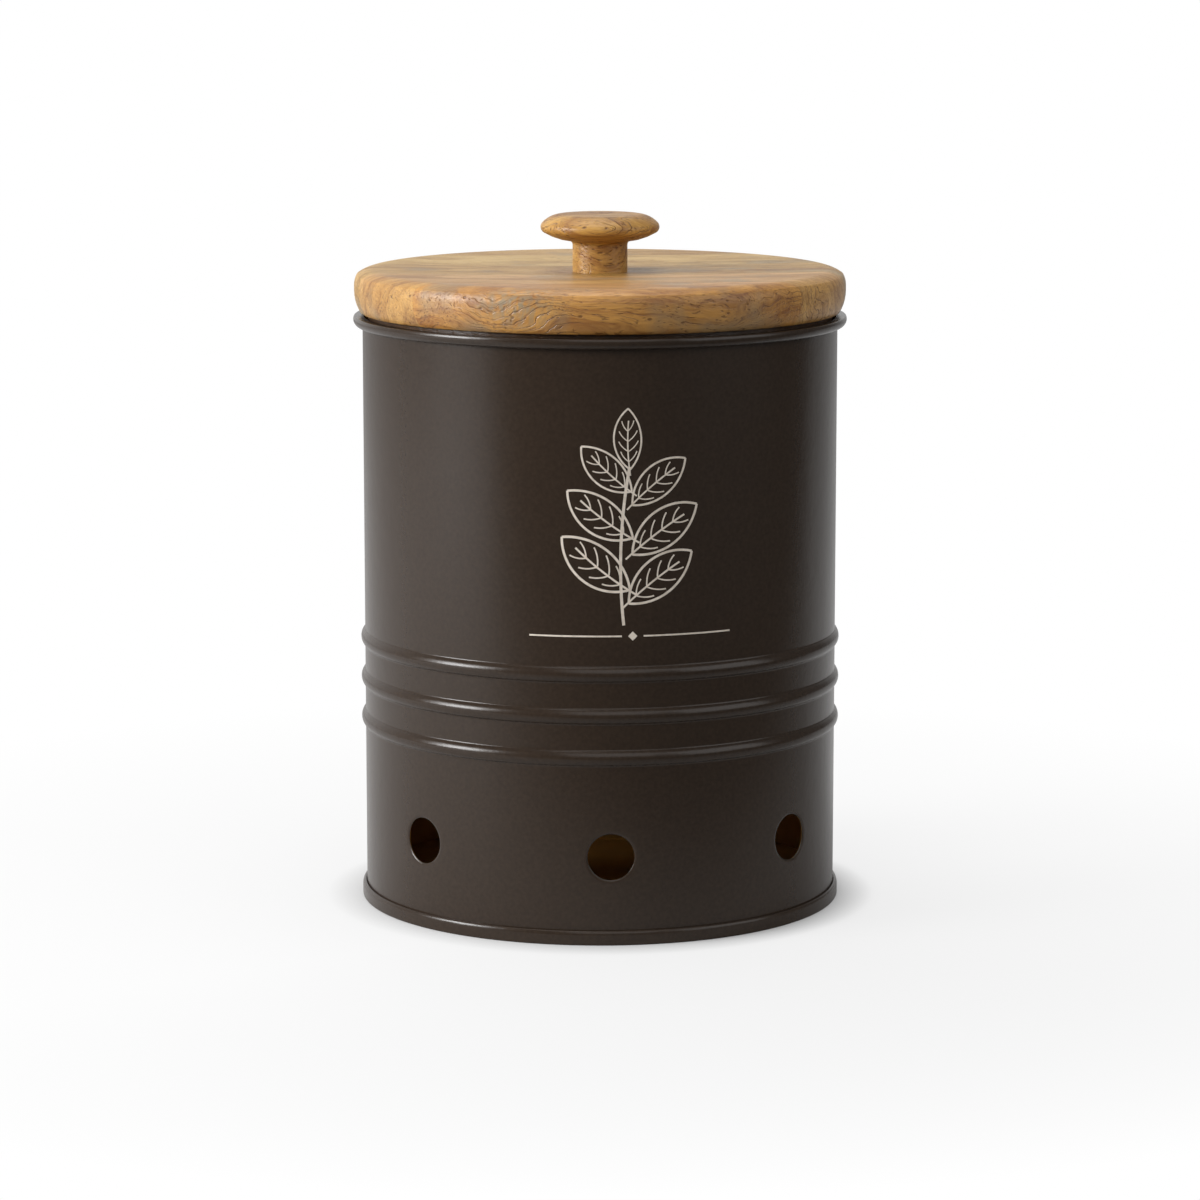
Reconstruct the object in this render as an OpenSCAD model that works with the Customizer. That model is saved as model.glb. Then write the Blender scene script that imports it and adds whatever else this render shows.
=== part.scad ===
// Onion storage bin: a beaded steel tin with air vents and a turned wooden lid with a knob.
// Sizes are in millimetres. +Z is up, the middle vent faces -Y and the lock seam is at +Y.
// The origin is the centre of the foot ring, on the surface that the bin stands on.

/* [Steel bin] */
// Outside diameter of the plain wall
body_d = 180; // [160:1:210]
// Height of the rim, where the lid rests
body_h = 224.8; // [190:0.1:280]
// Thickness of the steel sheet
sheet = 0.5; // [0.4:0.05:0.7]
// Outside radius of the curl on the rim
curl_r = 2.7; // [2.2:0.1:4]
// How far the curl's centre lies outside the wall
curl_out = 0.8; // [0.3:0.1:1.5]
// Depth of the flat pressed on the curl's crest
crest_flat = 0.1; // [0.05:0.01:0.3]
// Gap between the curl's edge and the wall
curl_slit = 0.6; // [0.3:0.1:1]

/* [Beads] */
// Number of swaged beads round the wall
bead_count = 3; // [1:1:4]
// Height of the lowest bead's centre
bead_z = 69.7; // [62:0.1:90]
// Distance between bead centres
bead_pitch = 15.5; // [12:0.1:20]
// How far a bead stands proud of the wall
bead_proud = 1.5; // [0.8:0.05:2]
// Radius of a bead's round
bead_r = 3.6; // [3:0.1:6]
// Radius of the hollow round between a bead and the wall
bead_foot_r = 0.9; // [0.5:0.1:1.5]

/* [Air vents] */
// Number of punched vents
vent_count = 7; // [3:2:7]
// Diameter of a vent
vent_d = 17.5; // [10:0.5:24]
// Height of the vents' centres
vent_z = 32.8; // [24:0.1:45]
// Distance from vent to vent along the wall
vent_pitch = 78; // [40:1:78]

/* [Base] */
// Height of the double seam round the foot
seam_h = 5.4; // [4.5:0.1:9]
// Outside radius of the seam's rounded top
wrap_bend = 1.1; // [0.7:0.05:1.1]
// Gap between neighbouring layers of the seam
seam_gap = 0.05; // [0.03:0.01:0.1]
// Free space past the end of each hook
hook_end = 0.6; // [0.3:0.1:1]
// Height of the base panel's upper face
panel_z = 6.5; // [5:0.1:10]
// Bend radius between the panel and its upright wall
panel_bend = 1.5; // [1:0.1:3]
// Radius of the stiffening ring pressed into the panel
ring_r = 62; // [40:1:68]
// How far the ring stands up from the panel
ring_proud = 1.2; // [0.6:0.1:2]
// Radius of the ring's round
ring_bead_r = 6; // [4:0.1:8]

/* [Lock seam] */
// Width of the folded band inside the wall
lock_w = 6; // [4:0.5:10]
// Plain lap left between the band and the pieces above and below it
lock_lap = 2; // [1:0.5:6]
// Width of the fold line outside
fold_w = 0.5; // [0.3:0.1:1]
// Depth of the fold line outside
fold_depth = 0.2; // [0.1:0.05:0.3]

/* [Lid] */
// How far the lid reaches past the wall
lid_over = 3.1; // [1:0.1:8]
// Thickness of the glued panel
lid_t = 16.2; // [13:0.1:22]
// Depth of the shallow hollow turned in the top
lid_dish = 1.3; // [0.3:0.1:2]
// Radius of the curve from the top towards the edge line
lid_top_r = 10.5; // [6:0.1:12]
// Direction of that curve where it meets the edge line, up from level
lid_top_turn = 55; // [48:1:65]
// Radius of the edge line itself
lid_edge_r = 1; // [0.4:0.1:2]
// Direction of the curve below the edge line, up from level
lid_side_turn = 28; // [15:1:40]
// Radius of the curve from the edge line down to the land
lid_side_r = 8; // [5:0.1:10]
// Radius of the fuller curve on the lower edge
lid_low_r = 15.5; // [12:0.5:24]
// Upright land between the two curves
lid_land = 2; // [0.5:0.1:4]
// Width of a board
board_w = 40; // [36:1:46]

/* [Locating disc] */
// Thickness of the disc under the lid
disc_t = 10; // [9:0.1:16]
// Gap between the disc and the mouth of the bin
disc_clear = 1.5; // [0.8:0.1:4]
// Round-over on the disc's lower edge
disc_round = 2; // [0.5:0.1:4]
// Distance of the disc screws from the disc's edge
disc_screw_in = 28; // [15:1:40]
// Shank diameter of a disc screw
disc_screw_d = 4; // [3:0.1:5]
// Head diameter of a disc screw
disc_screw_head_d = 8; // [6:0.1:10]
// Depth of a disc screw in the lid
disc_screw_bite = 8; // [5:0.1:10]

/* [Knob] */
// Diameter of the knob's head
knob_d = 45; // [36:0.1:60]
// Diameter of the knob's neck
neck_d = 20.8; // [16:0.1:26]
// Diameter of the flat seat turned for the neck
seat_d = 24; // [20:0.1:30]
// Height from that seat to the lowest point of the head
neck_h = 11.5; // [8:0.1:18]
// Height from there to the widest point of the head
head_drop = 5.4; // [4:0.1:9]
// Height from the widest point to the flat top
head_rise = 4.8; // [3.5:0.1:8]
// Radius of the head's edge
nose_r = 2.4; // [1:0.1:3]
// Radius of the curve between the edge and the flat top
shoulder_r = 10; // [6:0.1:12]
// Radius of the curve under the head
under_r = 24; // [18:0.5:40]
// Radius of the fillet between the neck and the head
neck_fillet = 1.5; // [0.5:0.1:3]

/* [Knob screw] */
// Shank diameter
screw_d = 4.8; // [3.5:0.1:6]
// Head diameter
screw_head_d = 9.5; // [8:0.1:11]
// Head height
screw_head_h = 3; // [2:0.1:3.5]
// Depth of the screw in the knob
screw_bite = 14; // [10:0.1:15]
// Length of the screw's point
screw_tip = 4; // [2:0.1:6]
// Washer diameter
washer_d = 13; // [12:0.1:16]
// Washer thickness
washer_t = 1; // [0.6:0.1:1.5]
// Depth of the recess below the screw's head
head_sink = 1.2; // [0.5:0.1:2]
// Gap round a screw's shank, head or washer
screw_gap = 0.1; // [0.05:0.01:0.3]

/* [Hidden] */
$fn = 120;

// Overrun of a cut past the face that it opens
over = 1;
board_count = 5;
steel = "#3a3430";
plain_steel = "#b5b2ab";
wood = "#c39a5f";
dark_wood = "#3d2814";

// Wall and rim
wall_r = body_d / 2;
mouth_r = wall_r - sheet;
curl_z = body_h + crest_flat - curl_r;

// Double seam, from the inside outwards: pan wall, shell, pan hook, shell hook, pan wrap
pan_wall_r = mouth_r - seam_gap;
pan_hook_r = wall_r + seam_gap;
shell_hook_r = pan_hook_r + sheet + seam_gap;
pan_wrap_r = shell_hook_r + sheet + seam_gap;
foot_r = pan_wrap_r + sheet;
shell_z = sheet + seam_gap;

// Lock seam: four layers of sheet, flush outside
lock_proud = 3 * sheet;
lock_angle = lock_w / wall_r * 180 / PI;
fold_angle = fold_w / wall_r * 180 / PI;

vent_step = vent_pitch / wall_r * 180 / PI;

// Lid
lid_r = wall_r + lid_over;
lid_z = body_h;
lid_top = lid_z + lid_t;
lid_seat_z = lid_top - lid_dish;
disc_r = mouth_r - disc_clear;
disc_z = lid_z - disc_t;
disc_screw_r = disc_r - disc_screw_in;
disc_head_h = (disc_screw_head_d - disc_screw_d) / 2;

// Knob and its screw
seat_z = disc_z + head_sink + screw_head_h + washer_t;
screw_z = seat_z - washer_t;
screw_end = lid_seat_z + screw_bite;
head_low = lid_seat_z + neck_h;
nose_z = head_low + head_drop;
knob_top = nose_z + head_rise;

// Distance along one leg of a right triangle
function leg(long, short) = sqrt(long * long - short * short);

// Step of length r in a direction
function toward(r, a) = r * [cos(a), sin(a)];

// Points along an arc from angle a to angle b
function arc(centre, r, a, b, steps) =
    [for (i = [0 : steps]) centre + toward(r, a + (b - a) * i / steps)];

// Angle of the line from p to q
function bearing(p, q) = atan2(q.y - p.y, q.x - p.x);

// Waste outside a bend: the sheet's outer corner, the way from it into the sheet, and the radius
module bend_waste(corner, inward, r = sheet) {
    translate(corner + inward * r) difference() {
        translate([inward.x > 0 ? -r - over : 0, inward.y > 0 ? -r - over : 0]) square(r + over);
        circle(r);
    }
}

// Half outline of the wall with its beads between two heights, moved in by inset
module wall_outline(inset, low, high) {
    translate([0, low]) square([wall_r - inset, high - low]);
    for (k = [0 : bead_count - 1])
        translate([wall_r + bead_proud - bead_r, bead_z + k * bead_pitch]) {
            circle(bead_r - inset);
            bead_foot(inset);
            mirror([0, 1]) bead_foot(inset);
        }
}

// Hollow round above a bead, tangent to the bead's round and to the wall
module bead_foot(inset) {
    centre_x = bead_r - bead_proud + bead_foot_r;
    centre = [centre_x, leg(bead_r + bead_foot_r, centre_x)];
    difference() {
        polygon([[0, 0], centre, [0, centre.y]]);
        translate(centre) circle(bead_foot_r + inset);
    }
}

// Section of the curl: a short flat from the wall, then the round, open below at the sheet's edge
module curl_section() {
    translate([wall_r + curl_out, curl_z]) {
        translate([-curl_out - sheet / 2, curl_r - sheet]) square([curl_out + sheet / 2, sheet]);
        difference() {
            circle(curl_r);
            circle(curl_r - sheet);
            translate([-2 * curl_r, 0]) square(2 * curl_r);
            translate([curl_slit - curl_out - 2 * curl_r, -2 * curl_r]) square(2 * curl_r);
        }
    }
}

// Section of the rolled sheet: curl, beaded wall, and the hook at its foot
module shell_section() {
    top = curl_z + curl_r;
    hook_top = seam_h - max(sheet + hook_end, wrap_bend);
    difference() {
        union() {
            difference() {
                wall_outline(0, shell_z, top);
                wall_outline(sheet, shell_z - over, top + over);
            }
            curl_section();
            translate([mouth_r, shell_z]) square([shell_hook_r + sheet - mouth_r, sheet]);
            translate([shell_hook_r, shell_z]) square([sheet, hook_top - shell_z]);
        }
        translate([mouth_r - over, body_h]) square([2 * curl_r, over]);
        bend_waste([mouth_r, top], [1, -1]);
        bend_waste([mouth_r, shell_z], [1, 1]);
        bend_waste([shell_hook_r + sheet, shell_z], [-1, 1]);
    }
}

// Band between two insets of the wall, which follows the beads from one height to another
module band_section(outer, inner, low, high) {
    difference() {
        wall_outline(outer, low, high);
        wall_outline(inner, low - over, high + over);
    }
}

// Rolled, beaded and vented sheet
module body_shell() {
    lock_low = panel_z + lock_lap;
    lock_high = disc_z - lock_lap;
    color(steel) difference() {
        union() {
            rotate_extrude() shell_section();
            rotate(90 - lock_angle / 2) rotate_extrude(angle = lock_angle)
                band_section(sheet / 2, sheet + lock_proud, lock_low, lock_high);
        }
        rotate(90 + lock_angle / 2 - fold_angle) rotate_extrude(angle = fold_angle)
            band_section(-fold_depth, fold_depth, seam_h + lock_lap, curl_z - curl_r - lock_lap);
        for (k = [0 : vent_count - 1])
            rotate((k - (vent_count - 1) / 2) * vent_step)
                translate([0, -wall_r, vent_z]) rotate([90, 0, 0])
                    cylinder(d = vent_d, h = vent_d, center = true);
    }
}

// Half outline of the panel, its upright wall and its stiffening ring, moved in by inset
module pan_outline(inset) {
    bend = [pan_wall_r - panel_bend, panel_z - panel_bend];
    difference() {
        union() {
            translate([0, -inset]) square([pan_wall_r - inset, panel_z]);
            translate([ring_r, panel_z + ring_proud - ring_bead_r]) circle(ring_bead_r - inset);
        }
        translate(bend) difference() {
            square(panel_bend + over);
            circle(panel_bend - inset);
        }
        translate([0, -ring_bead_r - over]) square([wall_r, ring_bead_r + over - inset]);
    }
}

// Section of the pressed base, wrapped round the shell's hook
module pan_section() {
    difference() {
        union() {
            difference() {
                pan_outline(0);
                pan_outline(sheet);
            }
            translate([pan_wall_r - sheet, 0]) square([foot_r - pan_wall_r + sheet, sheet]);
            translate([pan_wrap_r, 0]) square([sheet, seam_h]);
            translate([pan_hook_r, seam_h - sheet]) square([foot_r - pan_hook_r, sheet]);
            translate([pan_hook_r, shell_z + sheet + hook_end])
                square([sheet, seam_h - shell_z - sheet - hook_end]);
            translate([foot_r - wrap_bend, seam_h - wrap_bend]) difference() {
                square(wrap_bend);
                circle(wrap_bend - sheet);
            }
        }
        bend_waste([pan_wall_r - sheet, 0], [1, 1]);
        bend_waste([foot_r, 0], [-1, 1]);
        bend_waste([foot_r, seam_h], [-1, -1], wrap_bend);
        bend_waste([pan_hook_r, seam_h], [1, -1]);
    }
}

// Pressed base
module base_pan() {
    color(steel) rotate_extrude() pan_section();
}

// Half outline of the turned lid: fuller curve below, land, curves to and from the edge line, hollow
function lid_outline() =
    let (edge_rise = toward(lid_side_r - lid_edge_r, lid_side_turn),
         top_drop = toward(lid_top_r - lid_edge_r, lid_top_turn),
         side = [lid_r - lid_side_r, lid_top - lid_top_r + top_drop.y - edge_rise.y],
         edge = side + edge_rise,
         top = edge - top_drop,
         low = [lid_r - lid_low_r, side.y - lid_land],
         low_turn = asin((low.y - lid_z) / lid_low_r))
    concat(
        [[0, lid_z]],
        arc(low, lid_low_r, -low_turn, 0, 8),
        arc(side, lid_side_r, 0, lid_side_turn, 6),
        arc(edge, lid_edge_r, lid_side_turn, lid_top_turn, 4),
        arc(top, lid_top_r, lid_top_turn, 90, 8),
        [[seat_d / 2, lid_seat_z], [0, lid_seat_z]]);

// Places its child at each disc screw
module at_disc_screws() {
    for (a = [45 : 90 : 315])
        rotate(a) translate([disc_screw_r, 0]) children();
}

// Disc screw with its countersunk head flush below the disc, made larger all round by gap
module disc_screw(gap) {
    shank_r = disc_screw_d / 2 + gap;
    shank_top = lid_z + disc_screw_bite + gap;
    rotate_extrude() polygon([
        [0, disc_z - gap],
        [disc_screw_head_d / 2 + 2 * gap, disc_z - gap],
        [shank_r, disc_z + disc_head_h],
        [shank_r, shank_top - shank_r],
        [0, shank_top]]);
}

// One board of the lid, counted from the front
module lid_board(k) {
    first = k == 1;
    last = k == board_count;
    low = first ? -lid_r - over : (k - 1 - board_count / 2) * board_w;
    high = last ? lid_r + over : (k - board_count / 2) * board_w;
    color(wood) difference() {
        intersection() {
            rotate_extrude() polygon(lid_outline());
            translate([-lid_r - over, low, lid_z - over])
                cube([2 * (lid_r + over), high - low, lid_t + 2 * over]);
        }
        translate([0, 0, lid_z - over]) cylinder(d = screw_d + 2 * screw_gap, h = lid_t + 2 * over);
        at_disc_screws() disc_screw(screw_gap);
    }
}

// Disc that drops into the mouth, with the recess for the knob's screw
module locating_disc() {
    color(dark_wood) difference() {
        rotate_extrude() difference() {
            translate([0, disc_z]) square([disc_r, disc_t]);
            translate([disc_r - disc_round, disc_z + disc_round]) difference() {
                translate([0, -disc_round - over]) square([disc_round + over, disc_round + over]);
                circle(disc_round);
            }
        }
        translate([0, 0, disc_z - over])
            cylinder(d = washer_d + 2 * screw_gap, h = seat_z - disc_z + over);
        translate([0, 0, disc_z - over]) cylinder(d = screw_d + 2 * screw_gap, h = disc_t + 2 * over);
        at_disc_screws() disc_screw(screw_gap);
    }
}

// Screws that hold the disc under the boards
module disc_screws() {
    color(plain_steel) at_disc_screws() disc_screw(0);
}

// Half outline of the knob: neck, fillet, underside, edge, shoulder and flat top
function knob_outline() =
    let (neck_r = neck_d / 2,
         nose = [knob_d / 2 - nose_r, nose_z],
         shoulder_z = knob_top - shoulder_r,
         shoulder = [nose.x - leg(shoulder_r - nose_r, nose_z - shoulder_z), shoulder_z],
         under_z = head_low + under_r,
         under = [nose.x - leg(under_r - nose_r, under_z - nose_z), under_z],
         fillet_x = neck_r + neck_fillet,
         fillet = [fillet_x, under_z - leg(under_r + neck_fillet, fillet_x - under.x)])
    concat(
        [[0, lid_seat_z], [neck_r, lid_seat_z]],
        arc(fillet, neck_fillet, 180, bearing(fillet, under), 6),
        arc(under, under_r, bearing(under, fillet), bearing(under, nose), 8),
        arc(nose, nose_r, bearing(under, nose), bearing(shoulder, nose), 10),
        arc(shoulder, shoulder_r, bearing(shoulder, nose), 90, 8),
        [[0, knob_top]]);

// Turned knob with the blind hole for its screw
module knob() {
    hole_r = screw_d / 2 + screw_gap;
    color(wood) difference() {
        rotate_extrude() polygon(knob_outline());
        translate([0, 0, lid_seat_z - over])
            cylinder(r = hole_r, h = screw_bite - screw_tip + over + screw_gap);
        translate([0, 0, screw_end - screw_tip + screw_gap])
            cylinder(r1 = hole_r, r2 = screw_gap, h = screw_tip);
    }
}

// Round-headed screw, from the recess in the disc up into the knob
module knob_screw() {
    head_r = screw_head_d / 2;
    color(plain_steel) rotate_extrude() {
        difference() {
            translate([0, screw_z - screw_head_h]) square([head_r, screw_head_h]);
            translate([head_r - screw_head_h, screw_z]) difference() {
                translate([0, -screw_head_h - over]) square(screw_head_h + over);
                circle(screw_head_h);
            }
        }
        polygon([
            [0, screw_z - screw_head_h / 2],
            [screw_d / 2, screw_z - screw_head_h / 2],
            [screw_d / 2, screw_end - screw_tip],
            [0, screw_end]]);
    }
}

// Washer between the screw's head and the floor of the recess
module knob_washer() {
    color(plain_steel) translate([0, 0, seat_z - washer_t]) difference() {
        cylinder(d = washer_d, h = washer_t);
        translate([0, 0, -over]) cylinder(d = screw_d + 2 * screw_gap, h = washer_t + 2 * over);
    }
}

body_shell();
base_pan();
lid_board(1);  // lid_board_1
lid_board(2);  // lid_board_2
lid_board(3);  // lid_board_3
lid_board(4);  // lid_board_4
lid_board(5);  // lid_board_5
locating_disc();
disc_screws();
knob();
knob_screw();
knob_washer();
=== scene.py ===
from math import acos, asin, atan2, cos, degrees, pi, radians, sin, sqrt
import bmesh
import bpy
from mathutils import Matrix, Vector


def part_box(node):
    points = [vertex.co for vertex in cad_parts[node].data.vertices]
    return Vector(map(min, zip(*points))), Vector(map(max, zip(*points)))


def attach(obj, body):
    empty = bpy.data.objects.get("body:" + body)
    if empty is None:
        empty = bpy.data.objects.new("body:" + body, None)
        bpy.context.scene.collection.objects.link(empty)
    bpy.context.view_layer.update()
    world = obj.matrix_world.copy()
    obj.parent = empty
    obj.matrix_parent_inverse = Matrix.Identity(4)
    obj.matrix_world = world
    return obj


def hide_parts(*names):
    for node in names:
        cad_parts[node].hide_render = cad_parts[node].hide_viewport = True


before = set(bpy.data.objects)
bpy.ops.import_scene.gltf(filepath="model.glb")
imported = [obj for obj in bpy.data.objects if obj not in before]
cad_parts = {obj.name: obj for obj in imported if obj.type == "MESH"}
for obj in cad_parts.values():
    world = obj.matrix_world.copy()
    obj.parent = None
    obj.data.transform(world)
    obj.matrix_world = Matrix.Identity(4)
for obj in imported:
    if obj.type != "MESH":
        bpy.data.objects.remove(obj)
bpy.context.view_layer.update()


# Base pan: the bottom of the bin, pressed from sheet steel with one stiffening ring.
# Its edge is folded up round the hooked foot of the wall in a double seam, which shows as a band.
mm = 0.001
sheet = 0.5 * mm
seam_gap = 0.05 * mm
pan_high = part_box("base_pan")[1]
foot_r = pan_high.x
seam_top = 5.4 * mm
wrap_bend = 1.1 * mm
crown_round = 3 * mm
crown_turn = 24
panel_top = 6.5 * mm
panel_bend = 1.5 * mm
wrap_r = foot_r - sheet
hook_r = wrap_r - 2 * sheet - 2 * seam_gap
pan_wall_r = hook_r - sheet - 2 * seam_gap
hook_low = 1.65 * mm
ring_r = 62 * mm
ring_round = 6 * mm
ring_axis_z = pan_high.z - ring_round
arc_step = 7
long_line = 2 * mm
end_strip = 0.4 * mm
sharp_angle = radians(35)


def linear(code):
    """Linear RGBA of an sRGB colour written as six hex digits."""
    parts = [int(code[i:i + 2], 16) / 255 for i in (0, 2, 4)]
    return [p / 12.92 if p <= 0.04045 else ((p + 0.055) / 1.055) ** 2.4 for p in parts] + [1]


def add(tree, kind, inputs=None, stops=(), **settings):
    """Adds a node with its settings, links or fills its inputs, and gives back its outputs."""
    node = tree.nodes.new(kind)
    for name, value in settings.items():
        setattr(node, name, value)
    for socket, value in (inputs or {}).items():
        if isinstance(value, bpy.types.NodeSocket):
            tree.links.new(value, node.inputs[socket])
        else:
            node.inputs[socket].default_value = value
    for i, (position, colour) in enumerate(stops):
        mark = node.color_ramp.elements[i] if i < 2 else node.color_ramp.elements.new(position)
        mark.position = position
        mark.color = colour
    return node.outputs


def finish(name):
    """A new material with an empty node tree."""
    made = bpy.data.materials.new(name)
    made.use_nodes = True
    made.node_tree.nodes.clear()
    return made, made.node_tree


# Powder coat: satin charcoal-brown polyester, sprayed on and baked. It gives soft-edged
# reflections, broken up by a fine orange peel, a slower ripple and a slightly uneven gloss.
powder_coat, tree = finish("satin_powder_coat")
place = add(tree, "ShaderNodeTexCoord")["Object"]
peel = add(tree, "ShaderNodeTexNoise", {"Vector": place, "Scale": 1 / (1.4 * mm), "Detail": 2})[0]
haze = add(tree, "ShaderNodeTexNoise", {"Vector": place, "Scale": 1 / (60 * mm), "Detail": 1})[0]
gloss = add(tree, "ShaderNodeMapRange", {"Value": haze, "To Min": 0.2, "To Max": 0.27})[0]
ripple = add(tree, "ShaderNodeTexNoise", {"Vector": place, "Scale": 1 / (6 * mm), "Detail": 2})[0]
tint = add(tree, "ShaderNodeValToRGB", {"Fac": peel},
           stops=[(0.3, linear("2e241c")), (0.7, linear("342920"))])[0]
wave = add(tree, "ShaderNodeBump", {"Height": ripple, "Distance": 0.06 * mm})[0]
skin = add(tree, "ShaderNodeBump", {"Height": peel, "Distance": 0.03 * mm, "Normal": wave})[0]
coat = add(tree, "ShaderNodeBsdfPrincipled", {
    "Base Color": tint, "Roughness": gloss, "Specular IOR Level": 0.34, "Normal": skin})[0]
add(tree, "ShaderNodeOutputMaterial", {"Surface": coat})

# Lacquer: clear gold-brown can lacquer, rolled on the inside of the sheet before it is formed.
# It is thin and fairly glossy, with a slight cloudiness over the steel.
lacquer, tree = finish("gold_can_lacquer")
place = add(tree, "ShaderNodeTexCoord")["Object"]
cloud = add(tree, "ShaderNodeTexNoise", {"Vector": place, "Scale": 1 / (18 * mm), "Detail": 4})[0]
tint = add(tree, "ShaderNodeValToRGB", {"Fac": cloud},
           stops=[(0.3, linear("b3803c")), (0.7, linear("c69148"))])[0]
gloss = add(tree, "ShaderNodeMapRange", {"Value": cloud, "To Min": 0.3, "To Max": 0.42})[0]
film = add(tree, "ShaderNodeBsdfPrincipled", {
    "Base Color": tint, "Roughness": gloss, "Metallic": 0.2})[0]
add(tree, "ShaderNodeOutputMaterial", {"Surface": film})


def trace(bm, path):
    """Draws a half section in the XZ plane: (r, z) is a line to there, (r, z, angle) an arc about
    there, in degrees. A vertex near each end of a long line keeps the shading flat along it."""
    last = bm.verts.new((path[0][0], 0, path[0][1]))
    for step in path[1:]:
        if len(step) == 3:
            turned = bmesh.ops.spin(
                bm, geom=[last], cent=(step[0], 0, step[1]), axis=(0, -1, 0),
                angle=radians(step[2]), steps=max(2, round(abs(step[2]) / arc_step)))
            last = turned["geom_last"][0]
            continue
        start = last.co.copy()
        end = Vector((step[0], 0, step[1]))
        run = (end - start).length
        stops = [end_strip / run, 1 - end_strip / run, 1] if run > long_line else [1]
        for part in stops:
            point = bm.verts.new(start.lerp(end, part))
            bm.edges.new((last, point))
            last = point


def turn(path, steps=192):
    """A bmesh of the path turned once round the Z axis, with its faces pointing outwards."""
    bm = bmesh.new()
    trace(bm, path)
    bmesh.ops.spin(bm, geom=bm.verts[:] + bm.edges[:], cent=(0, 0, 0), axis=(0, 0, 1),
                   angle=2 * pi, steps=steps, use_merge=True)
    bmesh.ops.remove_doubles(bm, verts=bm.verts[:], dist=1e-6)
    bmesh.ops.recalc_face_normals(bm, faces=bm.faces[:])
    return bm


def piece(name, bm, body, slot, nodes, *finishes):
    """Makes an object of a bmesh, smooth but for its edges, and ties it to the CAD frame."""
    mesh = bpy.data.meshes.new(name)
    bm.to_mesh(mesh)
    bm.free()
    mesh.shade_smooth()
    mesh.set_sharp_from_angle(angle=sharp_angle)
    for material in finishes:
        mesh.materials.append(material)
    made = bpy.data.objects.new(name, mesh)
    bpy.context.collection.objects.link(made)
    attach(made, body)
    if nodes:
        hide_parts(*nodes)


ring_turn = degrees(acos((panel_top - ring_axis_z - sheet) / (ring_round - sheet)))
ring_half = (ring_round - sheet) * sin(radians(ring_turn))
lean = radians(crown_turn)
bend_round = (wrap_bend - crown_round * (1 - cos(lean))) / cos(lean)
crown_z = seam_top - bend_round * (1 - sin(lean)) - crown_round * sin(lean)
pan = turn([
    (0, panel_top - sheet),
    (ring_r - ring_half, panel_top - sheet),
    (ring_r, ring_axis_z, -2 * ring_turn),
    (pan_wall_r - panel_bend, panel_top - sheet),
    (pan_wall_r - panel_bend, panel_top - panel_bend, -90),
    (pan_wall_r - sheet, sheet),
    (pan_wall_r, sheet, 90),
    (wrap_r, 0),
    (wrap_r, sheet, 90),
    (foot_r, crown_z),
    (foot_r - crown_round, crown_z, crown_turn),
    (foot_r - wrap_bend, seam_top - bend_round, 90 - crown_turn),
    (hook_r + sheet, seam_top - sheet, 90),
    (hook_r, hook_low)])

# The section follows the lower and outer face of the sheet, so its lowest part has to look down.
if min(pan.faces, key=lambda f: f.calc_center_median().z).normal.z > 0:
    bmesh.ops.reverse_faces(pan, faces=pan.faces[:])
bmesh.ops.solidify(pan, geom=pan.faces[:], thickness=sheet)
for face in pan.faces:
    middle = face.calc_center_median()
    face.material_index = int(face.normal.z > 0.3 and middle.to_2d().length < pan_wall_r)
piece("base_pan_steel", pan, "bin", "coated_steel", ["base_pan"], powder_coat, lacquer)


# Body shell: one steel sheet, punched with round vents, rolled to a cylinder and closed by a lock
# seam at the back, then swaged with three beads and curled outwards at the rim.
shell_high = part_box("body_shell")[1]
shell_foot = 1.2 * mm
rim_z = shell_high.z
curl_r = 2.7 * mm
curl_out = 0.8 * mm
curl_slit = 0.6 * mm
crest_flat = 0.1 * mm
crest_rise = 1.3 * mm
crest_round = 0.6 * mm
wall_r = shell_high.x - curl_r - curl_out
mouth_r = wall_r - sheet
curl_z = rim_z + crest_flat - curl_r
crest_z = curl_z + crest_rise
bead_heights = [69.7 * mm, 85.2 * mm, 100.7 * mm]
bead_proud = 1.5 * mm
bead_round = 3.6 * mm
bead_foot = 0.9 * mm
vent_count = 7
vent_r = 8.75 * mm
vent_z = 32.8 * mm
vent_step = 78 * mm / wall_r
frame_half = 15 * mm
frame_cells = 16
cut_soft = 0.2 * mm
punch_roll = [(1.1 * mm, 0), (0.7 * mm, 0.03 * mm), (0.35 * mm, 0.12 * mm), (0, 0.32 * mm)]
lock_turn = 6 * mm / wall_r
lock_proud = 3 * sheet
lock_low = 8.5 * mm
lock_high = rim_z - 12 * mm
fold_turn = 0.7 * mm / wall_r
fold_deep = 0.45 * mm

# The section follows the face of the sheet that is inside the bin and outside on the curl. The
# crest of the curl is flattened, so that a dark slot shows under the lid.
bead_turn = degrees(acos(1 - bead_proud / (bead_round + bead_foot)))
foot_rise = (bead_round + bead_foot) * sin(radians(bead_turn))
path = [(mouth_r, shell_foot), (mouth_r, lock_low)]
path += [(mouth_r, vent_z + frame_half * (2 * i / frame_cells - 1)) for i in range(frame_cells + 1)]
for height in bead_heights:
    path += [
        (mouth_r, height - foot_rise),
        (wall_r + bead_foot, height - foot_rise, -bead_turn),
        (wall_r + bead_proud - bead_round, height, 2 * bead_turn),
        (wall_r + bead_foot, height + foot_rise, -bead_turn)]
crest_turn = degrees(asin((crest_rise - crest_round) / (curl_r - crest_round)))
crest_r = wall_r + curl_out + (curl_r - crest_round) * cos(radians(crest_turn))
curl_end = degrees(asin((curl_out - curl_slit) / curl_r))
path += [
    (mouth_r, lock_high),
    (mouth_r, crest_z - sheet),
    (wall_r, crest_z - sheet, -90),
    (crest_r, crest_z),
    (crest_r, crest_z - crest_round, crest_turn - 90),
    (wall_r + curl_out, curl_z, -90 - crest_turn - curl_end)]

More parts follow.
